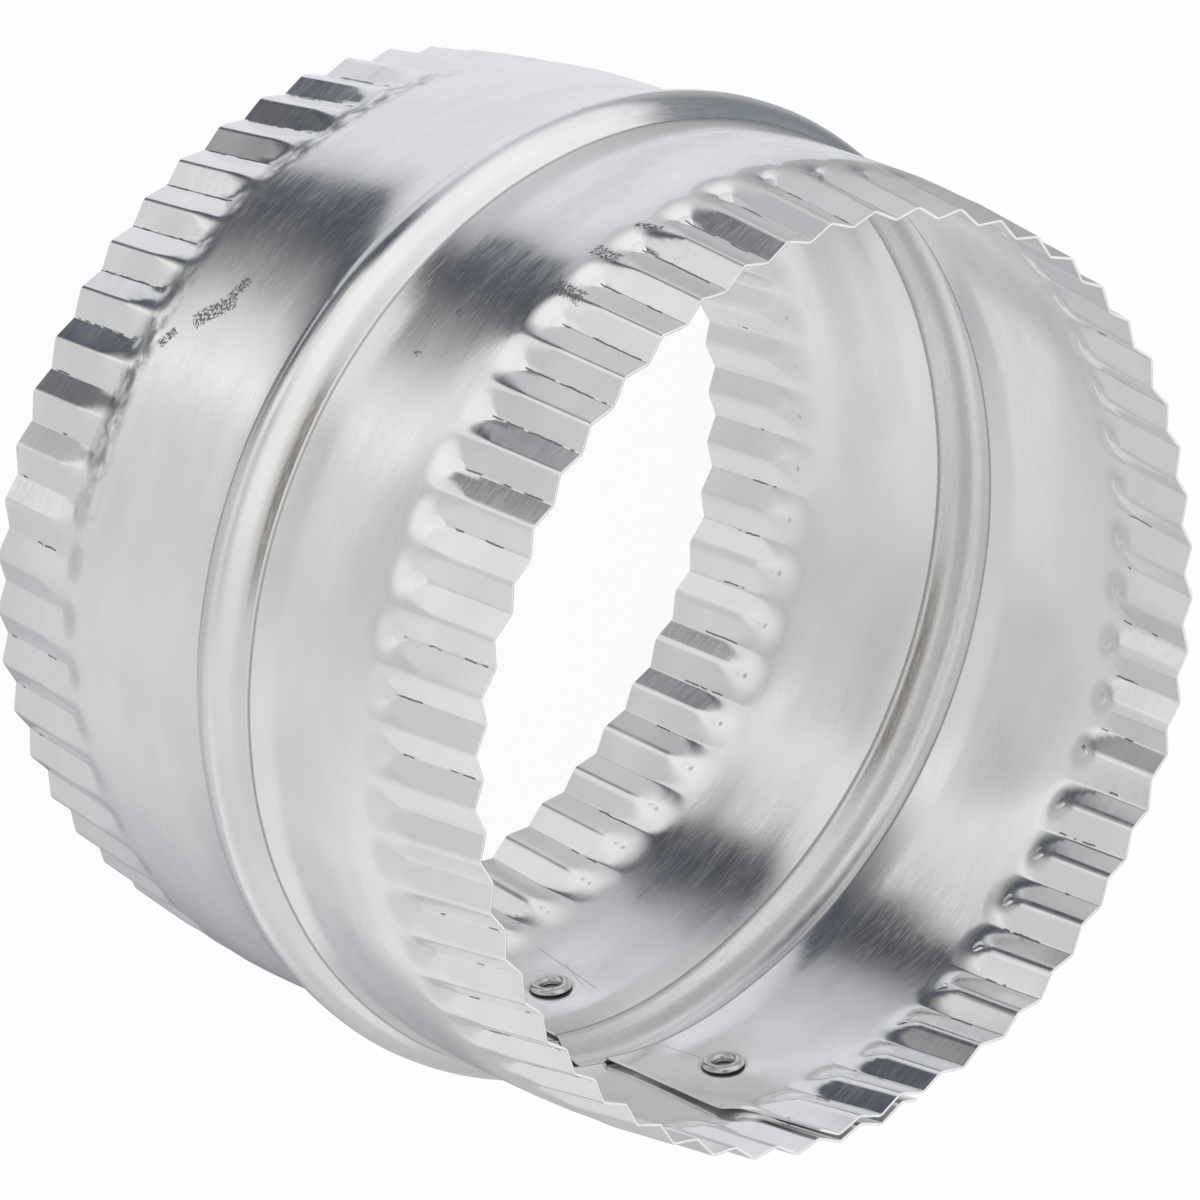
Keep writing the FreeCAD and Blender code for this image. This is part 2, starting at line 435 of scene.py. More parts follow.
    def rows(self) -> tuple:
        """Heights of the mesh's rows, and the numbers of the first and last plain wall row.

        Returns:
            The heights, closest together at the crimps' ends and the bead, and the range of
            rows between the crimps, which has half as many columns.
        """
        lower = [z * MM for z in (*self.rim_rows, *self.wall_rows)]
        lower += [self.length / 2 - share * self.bead_half_width for share in self.bead_rows]
        upper = [self.length - z for z in reversed(lower)]
        heights = np.array([*lower, self.length / 2, *upper])
        first = len(self.rim_rows)
        return heights, first, len(heights) - 1 - first

    def skin(self, number: Array, coarse: Array, first: int, last: int) -> list:
        """Faces of one side of the sheet.

        Args:
            number: vertex number of each column and row.
            coarse: the columns that the plain wall keeps.
            first: first row of the plain wall.
            last: its last row.

        Returns:
            Lists of vertex numbers, counter-clockwise as seen from outside.
        """
        fine = [*range(first - 1), *range(last + 1, number.shape[1] - 1)]
        faces = []
        for columns, rows in ((number, fine), (number[coarse], range(first, last))):
            for row in rows:
                low, high = columns[:, row], columns[:, row + 1]
                faces += quads(low[:-1], low[1:], high[1:], high[:-1]).tolist()
        for left, right in zip(coarse, coarse[1:]):
            below = number[left:right + 1, first - 1].tolist()
            above = number[left:right + 1, last + 1].tolist()
            faces.append([*below, number[right, first], number[left, first]])
            faces.append([number[left, last], number[right, last], *reversed(above)])
        return faces

    def build(self) -> Object:
        """Make the sleeve's mesh.

        Returns:
            One closed mesh object with both faces of the sheet, its rims and its ends.
        """
        heights, first, last = self.rows()
        angle, height = np.meshgrid(self.columns(), heights, indexing="ij")
        columns, rows = angle.shape
        from_rim = self.from_rim(height)
        near_bead = smooth_step((from_rim - self.taper_length) / self.askew_reach)
        height = height + (self.bead_middle(angle) - self.length / 2) * near_bead
        coarse = np.unique([*range(0, columns, 2), columns - 1])

        points = np.concatenate([self.place(angle, height, side) for side in Side])
        points = points.reshape(-1, 3)
        point_normals = np.concatenate([self.normals(angle, height, side) for side in Side])
        point_normals = point_normals.reshape(-1, 3)
        out, inn = np.arange(2 * columns * rows).reshape(2, columns, rows)
        faces = self.skin(out, coarse, first, last)
        faces += [face[::-1] for face in self.skin(inn, coarse, first, last)]
        normals = [point_normals[corner] for face in faces for corner in face]

        edges = [
            quads(inn[:-1, 0], inn[1:, 0], out[1:, 0], out[:-1, 0]),
            quads(out[:-1, -1], out[1:, -1], inn[1:, -1], inn[:-1, -1]),
            quads(inn[0, :-1], out[0, :-1], out[0, 1:], inn[0, 1:]),
            quads(out[-1, :-1], inn[-1, :-1], inn[-1, 1:], out[-1, 1:]),
        ]
        strips = np.concatenate(edges)
        corners = points[strips]
        flat = np.cross(corners[:, 2] - corners[:, 0], corners[:, 3] - corners[:, 1])
        flat /= np.linalg.norm(flat, axis=-1, keepdims=True)
        rounded = np.repeat(flat, 4, axis=0) + self.edge_round * point_normals[strips.reshape(-1)]
        rounded /= np.linalg.norm(rounded, axis=-1, keepdims=True)
        faces += strips.tolist()
        used, renumbered = np.unique(np.concatenate(faces), return_inverse=True)
        ends = np.cumsum([len(face) for face in faces])[:-1]
        faces = [face.tolist() for face in np.split(renumbered, ends)]

        mesh = smooth_mesh("sleeve_sheet", points[used].tolist(), faces)
        mesh.normals_split_custom_set([tuple(normal) for normal in (*normals, *rounded)])
        mesh.update()
        return link_data("sleeve_sheet", mesh)


@dataclass
class LapRivet:
    """One semi-tubular rivet: domed head outside, hollow shank rolled over inside."""

    name: str
    height: float
    outer_seat: float
    inner_seat: float
    seam_angle: float = 34.6

    head_diameter: float = 6.0 * MM
    head_height: float = 1.0 * MM
    head_edge: float = 0.3 * MM
    head_bevel: tuple = (0.08 * MM, 0.06 * MM)
    head_press: float = 0.02 * MM
    edge_share: float = 0.7
    dome_power: float = 0.8
    dome_steps: int = 11

    shank_diameter: float = 3.2 * MM
    bore_diameter: float = 2.2 * MM
    bore_depth: float = 1.3 * MM
    bore_cone: tuple = ((0.0, 0.0), (0.5, 0.06 * MM), (0.78, 0.25 * MM))
    bore_lip: tuple = (1.5, 0.97)

    ring_diameter: float = 4.6 * MM
    ring_height: float = 0.8 * MM
    ring_foot: float = 0.2 * MM
    ring_waist: float = 0.985
    ring_undercut: tuple = (0.09 * MM, 0.26 * MM)
    ring_steps: int = 14
    segments: int = 72

    def outline(self) -> list:
        """Half section, as pairs of distance from the sleeve's axis and from the rivet's own."""
        top = self.inner_seat - self.ring_height
        bore = self.bore_diameter / 2
        ring = self.ring_diameter / 2
        lip = (ring - bore) / 2
        middle = (ring + bore) / 2
        lip_drop, lip_share = self.bore_lip
        points = [(top + self.bore_depth - rise, bore * share) for share, rise in self.bore_cone]
        points += [(top + lip * lip_drop, bore * lip_share)]
        for turn in np.linspace(0.0, math.pi, self.ring_steps + 1):
            points.append((top + lip * (1 - math.sin(turn)), middle - lip * math.cos(turn)))
        outer_cut, inner_cut = self.ring_undercut
        points += [(self.inner_seat - self.ring_foot, ring * self.ring_waist),
                   (self.inner_seat - self.ring_foot / 2, ring - outer_cut),
                   (self.inner_seat, ring - inner_cut),
                   (self.inner_seat, self.shank_diameter / 2)]

        seat = self.outer_seat - self.head_press
        head = self.head_diameter / 2
        bevel_in, bevel_up = self.head_bevel
        points += [(seat, self.shank_diameter / 2),
                   (seat, head - bevel_in),
                   (self.outer_seat + bevel_up, head),
                   (self.outer_seat + self.head_edge * self.edge_share, head)]
        for turn in np.linspace(0.0, math.pi / 2, self.dome_steps + 1):
            rise = self.head_edge + (self.head_height - self.head_edge) * math.sin(turn)
            across = (head - bevel_up) * math.cos(turn) ** self.dome_power
            points.append((self.outer_seat + rise, across))
        return points

    def build(self) -> Object:
        """Make the rivet by turning its outline about the rivet's own axis."""
        on_axis = 1e-9
        vertices, rings = [], []
        for along, away in self.outline():
            first = len(vertices)
            if away < on_axis:
                vertices.append((along, 0.0, 0.0))
            else:
                for step in range(self.segments):
                    turn = 2 * math.pi * step / self.segments
                    vertices.append((along, away * math.cos(turn), away * math.sin(turn)))
            rings.append(list(range(first, len(vertices))))
        faces = []
        for first, second in zip(rings, rings[1:]):
            for step in range(self.segments):
                after = (step + 1) % self.segments
                corners = [first[step % len(first)], first[after % len(first)],
                           second[after % len(second)], second[step % len(second)]]
                faces.append(list(dict.fromkeys(corners)))
        mesh = smooth_mesh(self.name, vertices, faces)
        turned = Matrix.Rotation(math.radians(self.seam_angle), 4, "Z")
        mesh.transform(Matrix.Translation((0, 0, self.height)) @ turned)
        mesh.update()
        mesh.validate()
        return link_data(self.name, mesh)


@dataclass(frozen=True)
class Texture:
    """Procedural noise.

    Args:
        scales: its scale along each axis.
        detail: its octaves beyond the first.
        reach: the values between which it is spread to 0 and 1, where it is.
    """

    scales: tuple
    detail: float
    reach: tuple = ()


class NodeTree:
    """Short way to add and link shader nodes in a material, world or group."""

    def __init__(self, tree: bpy.types.NodeTree) -> None:
        """tree: the node tree to add to."""
        self.tree = tree

    def fill(self, node: Node, inputs: dict) -> None:
        """Set or link a node's inputs, which are given by name or number."""
        for slot, value in inputs.items():
            if isinstance(value, Socket):
                self.tree.links.new(value, node.inputs[slot])
            else:
                node.inputs[slot].default_value = value

    def add(self, kind: str, inputs: dict | None = None, **settings) -> Node:
        """Add a node, set its properties and fill its inputs."""
        node = self.tree.nodes.new(kind)
        for name, value in settings.items():
            setattr(node, name, value)
        self.fill(node, inputs or {})
        return node

    def math(self, operation: str, *values) -> Socket:
        """Add a math node whose inputs are sockets or numbers, and return its output."""
        return self.add("ShaderNodeMath", dict(enumerate(values)), operation=operation).outputs[0]

    def off(self, value: Socket, middle: object) -> Socket:
        """Distance of a value from a middle one, given as a socket or as a number."""
        return self.math("ABSOLUTE", self.math("SUBTRACT", value, middle))

    def spread(self, value: Socket, reach: tuple) -> Socket:
        """Rise smoothly from 0 to 1 between two values, of which either may be the greater."""
        start, end = reach
        low, high = (1.0, 0.0) if start > end else (0.0, 1.0)
        inputs = {"Value": value, "From Min": min(reach), "From Max": max(reach),
                  "To Min": low, "To Max": high}
        node = self.add("ShaderNodeMapRange", inputs, interpolation_type="SMOOTHSTEP", clamp=True)
        return node.outputs["Result"]

    def vector(self, operation: str, first: Socket, second: object) -> Socket:
        """Add a vector node for a vector and another one, and return its output."""
        node = self.add("ShaderNodeVectorMath", {0: first, 1: second}, operation=operation)
        return node.outputs["Vector" if operation == "MULTIPLY" else "Value"]

    def noise(self, place: Socket, texture: Texture) -> Socket:
        """Add noise, and return its value from 0 to 1."""
        stretched = self.vector("MULTIPLY", place, texture.scales)
        inputs = {"Vector": stretched, "Scale": 1.0, "Detail": texture.detail,
                  "Roughness": NOISE_ROUGHNESS}
        value = self.add("ShaderNodeTexNoise", inputs).outputs["Fac"]
        return self.spread(value, texture.reach) if texture.reach else value

    def mix(self, factor: Socket, first: object, second: object) -> Socket:
        """Mix two colours, given as sockets or as tuples, and return the result."""
        inputs = {"Factor": factor}
        for slot, colour in (("A", first), ("B", second)):
            inputs[slot] = (*colour, 1.0) if isinstance(colour, tuple) else colour
        return self.add("ShaderNodeMix", inputs, data_type="RGBA").outputs["Result"]

    def ramp(self, factor: Socket, compass: tuple) -> Socket:
        """Add a colour ramp with a stop for each angle and colour, from -180 to 180 degrees."""
        node = self.add("ShaderNodeValToRGB", {"Fac": factor})
        elements = node.color_ramp.elements
        for index, (angle, *colour) in enumerate(compass):
            place = (angle + 180) / 360
            element = elements[index] if index < len(elements) else elements.new(place)
            element.position = place
            element.color = (*colour, 1.0)
        return node.outputs["Color"]


@dataclass(frozen=True)
class HandledMetal:
    """Fine relief and haze of metal that was rolled or drawn and then handled."""

    fine_streaks: Texture = Texture((70, 70, 7500), 1.0)
    coarse_streaks: Texture = Texture((50, 50, 2900), 2.0)
    coarse_share: float = 0.9
    grains: Texture = Texture((1500, 1500, 1500), 2.0)
    hairs: Texture = Texture((520, 520, 8500), 2.0, (0.36, 0.74))
    bands: Texture = Texture((30, 30, 420), 2.0, (0.3, 0.7))
    band_share: float = 0.3
    tone: Texture = Texture((60, 60, 100), 2.0, (0.3, 0.7))

    def group(self) -> bpy.types.NodeTree:
        """Make the node group.

        Returns:
            A group with inputs Streaks and Mottle, the relief's depths in micrometres, and
            outputs Height in micrometres, Haze from 0 to 1 and Tone from 0 to 1.
        """
        group = bpy.data.node_groups.new("handled_metal", "ShaderNodeTree")
        for name in ("Streaks", "Mottle"):
            group.interface.new_socket(name, in_out="INPUT", socket_type="NodeSocketFloat")
        for name in ("Height", "Haze", "Tone"):
            group.interface.new_socket(name, in_out="OUTPUT", socket_type="NodeSocketFloat")
        tree = NodeTree(group)
        depths = tree.add("NodeGroupInput").outputs
        place = tree.add("ShaderNodeTexCoord").outputs["Object"]
        fine = tree.noise(place, self.fine_streaks)
        coarse = tree.noise(place, self.coarse_streaks)
        streaks = tree.math("MULTIPLY_ADD", coarse, self.coarse_share, fine)
        relief = tree.math("MULTIPLY", streaks, depths["Streaks"])
        grains = tree.noise(place, self.grains)
        relief = tree.math("MULTIPLY_ADD", grains, depths["Mottle"], relief)
        haze = tree.math("MULTIPLY", tree.noise(place, self.hairs), 1 - self.band_share)
        bands = tree.noise(place, self.bands)
        haze = tree.math("MULTIPLY_ADD", bands, self.band_share, haze)
        tone = tree.noise(place, self.tone)
        tree.add("NodeGroupOutput", {"Height": relief, "Haze": haze, "Tone": tone})
        return group


class BareMetal:
    """A material of bare metal in the making, with its relief from the shared group."""

    def __init__(self, name: str, relief: bpy.types.NodeTree, streaks: float,
                 mottle: float) -> None:
        """Start the material.

        Args:
            name: the material's name.
            relief: the handled metal group.
            streaks: depth of its streaks, in micrometres.
            mottle: depth of its grains, in micrometres.
        """
        self.material = bpy.data.materials.new(name)
        self.material.use_nodes = True
        self.tree = tree = NodeTree(self.material.node_tree)
        self.place = tree.add("ShaderNodeTexCoord").outputs["Object"]
        depths = {"Streaks": streaks, "Mottle": mottle}
        self.surface = tree.add("ShaderNodeGroup", depths, node_tree=relief)
        height = self.surface.outputs["Height"]
        bump = tree.add("ShaderNodeBump", {"Distance": MICROMETRE, "Height": height})
        self.shader = self.material.node_tree.nodes["Principled BSDF"]
        tree.fill(self.shader, {"Metallic": 1.0, "Normal": bump.outputs["Normal"]})

    def paint_light_after_bounces(self, colour: Socket, tone: tuple, bounces: int) -> None:
        """Set the colour; after some bounces the metal glows with a painted reflection of a mean
        tone, which turns to painted shade in a crevice.

        Args:
            colour: the metal's colour.
            tone: the painted reflection it glows with where light has met metal before, away from
                crevices.
            bounces: how often light must have met metal before.
        """
        tree = self.tree
        path = tree.add("ShaderNodeLightPath")
        # Painted light: past the bounces the metal is black and glows with the mean tone, a
        # painted reflection that turns to painted crevice shade on short rays.
        deep = tree.math("GREATER_THAN", path.outputs["Glossy Depth"], bounces - 0.5)
        clear = tree.spread(path.outputs["Ray Length"], PAINTED_CREVICE_REACH)
        tone = tree.mix(clear, PAINTED_CREVICE_SHADE, tone)
        tree.fill(self.shader, {"Base Color": tree.mix(deep, colour, BLACK),
                                "Emission Color": tree.mix(deep, BLACK, tone),
                                "Emission Strength": 1.0})
        self.material.cycles.emission_sampling = "NONE"


class SheetPlace:
    """Where on the sheet a point of its material lies, as sockets.

    Angle is in degrees, height and sheet, the place on the unrolled sheet, in millimetres.
    Across is the distance along Y in metres, and inside is 1 on the inner face.
    """

    def __init__(self, tree: NodeTree, place: Socket, radius: float) -> None:
        """Work the place out.

        Args:
            tree: the material's nodes.
            place: place in the part's frame.
            radius: the sheet's radius, in millimetres.
        """
        self.tree = tree
        x, y, z = tree.add("ShaderNodeSeparateXYZ", {0: place}).outputs
        self.across = y
        self.angle = tree.math("DEGREES", tree.math("ARCTAN2", y, x))
        self.height = tree.math("MULTIPLY", z, 1 / MM)
        around = tree.math("MULTIPLY", self.angle, math.radians(radius))
        unrolled = tree.add("ShaderNodeCombineXYZ", {"X": around, "Y": self.height})
        self.sheet = unrolled.outputs["Vector"]
        flat = tree.vector("MULTIPLY", place, (1.0, 1.0, 0.0))
        normal = tree.add("ShaderNodeNewGeometry").outputs["True Normal"]
        self.inside = tree.math("LESS_THAN", tree.vector("DOT_PRODUCT", flat, normal), 0.0)

    def by_face(self, values: tuple) -> Socket:
        """The first of two values on the outer face, the second on the inner one."""
        outer, inner = values
        return self.tree.math("MULTIPLY_ADD", self.inside, inner - outer, outer)


@dataclass(frozen=True)
class Mark:
    """A mark between two places of the unrolled sheet.

    Args:
        start: angle in degrees and height in millimetres.
        end: the same for its other end.
        width: half width in millimetres.
    """

    start: tuple
    end: tuple
    width: float


@dataclass(frozen=True)
class AluminiumFinish:
    """Bright mill-finish aluminium sheet, darker inside by painted shade, with the marks of its
    making and more painted shade.

    Heights and widths are in millimetres here, and places lie on the unrolled sheet. A reach
    says where an effect starts and where it is full. drawn_roughness and worn_middle give the
    outer face's value, then the inner one's.
    """

    sleeve: DuctSleeve
    colour: tuple = (0.93, 0.93, 0.935)
    dull_colour: tuple = (0.875, 0.87, 0.875)
    # Painted shade: the inner face's colour is darkened by this share.
    inside_shade_share: float = 0.95
    roughness: float = 0.09
    haze_roughness: float = 0.17
    drawn_roughness: tuple = (0.02, 0.11)
    drawn_reach: tuple = (0.5, -0.7)
    streaks: float = 1.4
    mottle: float = 3.4
    bounces: int = 2
    # Painted reflection: the grey the sheet glows with after its bounces.
    painted_bounce_glow: tuple = (0.55, 0.55, 0.56)

    # Broken dark lines along the hollow folds: tool marks and painted crease shade.
    crease_wander: Texture = Texture((0.9, 0.7, 1.0), 2.0)
    crease_sway: float = 0.05
    crease_line: tuple = (0.022, 0.010)
    crease_span: tuple = (0.8, 12.0)
    inner_crease_span: tuple = (5.0, 11.0)
    crease_breaks: Texture = Texture((0.35, 0.26, 1.0), 2.0)
    break_reach: tuple = (0.56, 0.60)
    worn_middle: tuple = (-122.0, 85.0)
    worn_reach: tuple = (40.0, 22.0)
    worn_share: float = 0.09

    # Painted shade: a dark line along the bead's feet.
    foot_shade_reach: tuple = (0.26, 0.06)
    foot_shade_strength: float = 0.62
    # Painted shadow: a dark ring on the sheet around each rivet.
    rivet_shade_reach: tuple = (2.85, 2.15)
    rivet_shade_strength: float = 0.6

    # Painted shade: a mottled dark band at the ends of the lower rim's crimps.
    shade_band_height: float = 14.7
    shade_band_width: tuple = (2.3, 0.5)
    shade_band_angle: float = -113.0
    shade_band_reach: tuple = (44.0, 24.0)
    shade_band_strength: float = 0.85
    shade_band_mottle: Texture = Texture((0.42, 0.55, 1.0), 5.0, (0.36, 0.64))

    # The dark colour of marks and of painted shade alike.
    mark_and_shade_colour: tuple = (0.12, 0.12, 0.13)
    mark_and_shade_share: float = 0.88
    mark_roughness: float = 0.25
    mark_core: float = 0.35
    scribed_share: float = 0.55
    rub_specks: Texture = Texture((3.0, 4.0, 1.0), 5.0)
    rub_share: float = 0.31
    rub_reach: tuple = (0.73, 0.85)
    rubbed: tuple = (
        Mark((-101.9, 20.4), (-104.6, 22.9), 1.7),
        Mark((-105.8, 22.8), (-107.6, 23.3), 1.2),
        Mark((-97.6, 17.0), (-99.0, 17.7), 1.0),
        Mark((-121.0, 61.2), (-120.9, 63.8), 1.6),
        Mark((-127.6, 61.2), (-127.7, 63.2), 1.4),
        Mark((-133.4, 61.6), (-134.2, 63.9), 0.7),
        Mark((-109.6, 36.4), (-108.9, 37.4), 0.8),
        Mark((-113.5, 52.4), (-113.3, 52.7), 0.6),
        Mark((-107.2, 50.9), (-107.1, 51.2), 0.5),
    )
    scribed: tuple = (
        Mark((40.2, 16.5), (38.0, 28.0), 0.09),
        Mark((32.6, 41.0), (34.3, 50.3), 0.09),
        Mark((39.6, 21.5), (37.4, 26.5), 0.06),
        Mark((33.0, 70.6), (33.4, 71.7), 0.12),
        Mark((25.7, 70.4), (25.9, 71.3), 0.12),
    )

    def crease_marks_and_shade(self, at: SheetPlace) -> Socket:
        """Broken dark lines along the folds, from 0 to 1: marks where the crimping tool pinched
        them, and painted crease shade.

        Args:
            at: where a point lies.

        Returns:
            The marks: along the valleys outside, and along the ridges inside.
        """
        tree = at.tree
        pitch = 360.0 / self.sleeve.crimps
        turns = tree.math("MULTIPLY_ADD", at.angle, 1 / pitch, -self.sleeve.first_ridge / pitch)
        turns = tree.math("MULTIPLY_ADD", at.inside, 0.5, turns)
        off_fold = tree.math("SUBTRACT", tree.math("FRACT", turns), 0.5)
        wander = tree.math("SUBTRACT", tree.noise(at.sheet, self.crease_wander), 0.5)
        wander = tree.math("MULTIPLY", wander, self.crease_sway)
        off_fold = tree.math("ABSOLUTE", tree.math("ADD", off_fold, wander))
        # Dark lines along the folds that are hollow on each face: tool marks and painted crease
        # shade.
        line = tree.spread(off_fold, self.crease_line)

        to_upper = tree.math("SUBTRACT", self.sleeve.length / MM, at.height)
        from_rim = tree.math("MINIMUM", at.height, to_upper)
        starts, ends = zip(self.crease_span, self.inner_crease_span)
        span = tree.math("MULTIPLY", tree.math("GREATER_THAN", from_rim, at.by_face(starts)),
                         tree.math("LESS_THAN", from_rim, at.by_face(ends)))
        worn = tree.spread(tree.off(at.angle, at.by_face(self.worn_middle)), self.worn_reach)
        breaks = tree.noise(at.sheet, self.crease_breaks)
        breaks = tree.math("MULTIPLY_ADD", worn, self.worn_share, breaks)
        breaks = tree.spread(breaks, self.break_reach)
        return tree.math("MULTIPLY", tree.math("MULTIPLY", line, span), breaks)

    def unrolled(self, angle: float, height: float) -> Vector:
        """Place on the unrolled sheet, in millimetres."""
        return Vector((math.radians(angle) * self.sleeve.wall_radius / MM, height, 0.0))

    def stroke(self, at: SheetPlace, mark: Mark) -> Socket:
        """How near a place is to a mark's middle line.

        Args:
            at: where a point lies.
            mark: the mark.

        Returns:
            The nearness: 1 on the line, 0 beyond the mark's width.
        """
        tree = at.tree
        start, end = self.unrolled(*mark.start), self.unrolled(*mark.end)
        along = (end - start).normalized()
        off = []
        for direction in (along, Vector((-along.y, along.x, 0.0))):
            reached = tree.vector("DOT_PRODUCT", at.sheet, direction)
            off.append(tree.off(reached, direction.dot((start + end) / 2)))
        past_end = tree.math("SUBTRACT", off[0], (end - start).length / 2)
        farther = tree.math("MAXIMUM", past_end, off[1])
        return tree.spread(farther, (mark.width, self.mark_core * mark.width))

    def strokes(self, at: SheetPlace, marks: tuple) -> Socket:
        """How near a place is to any of some marks, from 0 to 1."""
        near = [self.stroke(at, mark) for mark in marks]
        return reduce(partial(at.tree.math, "MAXIMUM"), near)

    def grime_and_shade(self, at: SheetPlace) -> Socket:
        """Dirt and painted shade outside: rubbed marks, and a mottled band of painted shade below
        the crimps of the lower rim.

        Args:
            at: where a point lies.

        Returns:
            Dirt and painted shade, from 0 to 1.
        """
        tree = at.tree
        specks = tree.noise(at.sheet, self.rub_specks)
        near = self.strokes(at, self.rubbed)
        rubbed = tree.math("MULTIPLY_ADD", near, self.rub_share, specks)
        # Painted shade: a mottled dark band at the ends of the lower rim's crimps.
        band = tree.spread(tree.off(at.height, self.shade_band_height), self.shade_band_width)
        beside = tree.spread(tree.off(at.angle, self.shade_band_angle), self.shade_band_reach)
        mottle = tree.noise(at.sheet, self.shade_band_mottle)
        shade_band = tree.math("MULTIPLY", tree.math("MULTIPLY", band, beside),
                          tree.math("MULTIPLY", mottle, self.shade_band_strength))
        dirt_and_shade = tree.math("MAXIMUM", tree.spread(rubbed, self.rub_reach), shade_band)
        return tree.math("MULTIPLY", dirt_and_shade, at.by_face((1.0, 0.0)))

    def darkness(self, at: SheetPlace) -> tuple:
        """Dark marks, painted shade and pale scribed lines over both faces, from 0 to 1.

        Args:
            at: where a point lies.

        Returns:
            The dark marks and painted shade, with the painted shade along the bead's feet and
            around the rivets, the scribed lines, and the mask of the bead.
        """
        tree = at.tree
        dark = tree.math("MAXIMUM", self.crease_marks_and_shade(at), self.grime_and_shade(at))

        tilt = self.sleeve.bead_tilt / MM / self.sleeve.wall_radius
        untilted = tree.math("MULTIPLY_ADD", at.across, tilt, at.height)
        middle = self.sleeve.length / 2 + self.sleeve.bead_offset
        past_foot = tree.math("SUBTRACT", tree.off(untilted, middle / MM),
                              self.sleeve.bead_half_width / MM)
        drawn = tree.spread(past_foot, self.drawn_reach)
        # Painted shade: a dark line along the bead's feet.
        foot = tree.spread(tree.math("ABSOLUTE", past_foot), self.foot_shade_reach)
        dark = tree.math("MAXIMUM", dark, tree.math("MULTIPLY", foot, self.foot_shade_strength))
        # Painted shadow: a dark ring on the sheet around each rivet.
        for rivet_height in self.sleeve.rivet_heights:
            rivet = self.unrolled(self.sleeve.seam_angle, rivet_height / MM)
            ring = tree.spread(tree.vector("DISTANCE", at.sheet, rivet), self.rivet_shade_reach)
            dark = tree.math("MAXIMUM", dark, tree.math("MULTIPLY", ring, self.rivet_shade_strength))
        scribed = tree.math("MULTIPLY", self.strokes(at, self.scribed), at.inside)
        return dark, scribed, drawn

    def material(self, relief: bpy.types.NodeTree) -> Material:
        """Make the material.

        Args:
            relief: the handled metal group.

        Returns:
            The material.
        """
        metal = BareMetal("mill_aluminium", relief, self.streaks, self.mottle)
        tree = metal.tree
        at = SheetPlace(tree, metal.place, self.sleeve.wall_radius / MM)
        dark, scribed, drawn = self.darkness(at)

        colour = tree.mix(metal.surface.outputs["Tone"], self.colour, self.dull_colour)
        # Painted shade darkens the inner face.
        colour = tree.mix(at.by_face((1.0, self.inside_shade_share)), BLACK, colour)
        # Marks and painted shade darken the colour.
        marked_and_shaded = tree.math("MAXIMUM", dark, tree.math("MULTIPLY", scribed, self.scribed_share))
        colour = tree.mix(tree.math("MULTIPLY", marked_and_shaded, self.mark_and_shade_share), colour, self.mark_and_shade_colour)
        metal.paint_light_after_bounces(colour, self.painted_bounce_glow, self.bounces)

        haze = metal.surface.outputs["Haze"]
        rough = tree.math("MULTIPLY_ADD", haze, self.haze_roughness, self.roughness)
        rough = tree.math("MULTIPLY_ADD", marked_and_shaded, self.mark_roughness, rough)
        rough = tree.math("MULTIPLY_ADD", drawn, at.by_face(self.drawn_roughness), rough)
        tree.fill(metal.shader, {"Roughness": rough})
        return metal.material


@dataclass(frozen=True)
class ZincFinish:
    """Zinc-plated steel of the rivets."""

    colour: tuple = (0.70, 0.71, 0.70)
    dull_colour: tuple = (0.56, 0.57, 0.56)
    specks: Texture = Texture((1300, 1300, 1300), 3.0, (0.40, 0.70))
    roughness: float = 0.20
    speck_roughness: float = 0.10
    streaks: float = 0.1
    mottle: float = 0.5
    bounces: int = 1
    # Painted reflection: the grey the rivets glow with after their bounces.
    painted_bounce_glow: tuple = (0.58, 0.58, 0.57)

    def material(self, relief: bpy.types.NodeTree) -> Material:
        """Make the material.

        Args:
            relief: the handled metal group.

        Returns:
            The material.
        """
        metal = BareMetal("zinc_steel", relief, self.streaks, self.mottle)
        tree = metal.tree
        specks = tree.noise(metal.place, self.specks)
        colour = tree.mix(specks, self.colour, self.dull_colour)
        metal.paint_light_after_bounces(colour, self.painted_bounce_glow, self.bounces)
        rough = tree.math("MULTIPLY_ADD", specks, self.speck_roughness, self.roughness)
        tree.fill(metal.shader, {"Roughness": rough})
        return metal.material


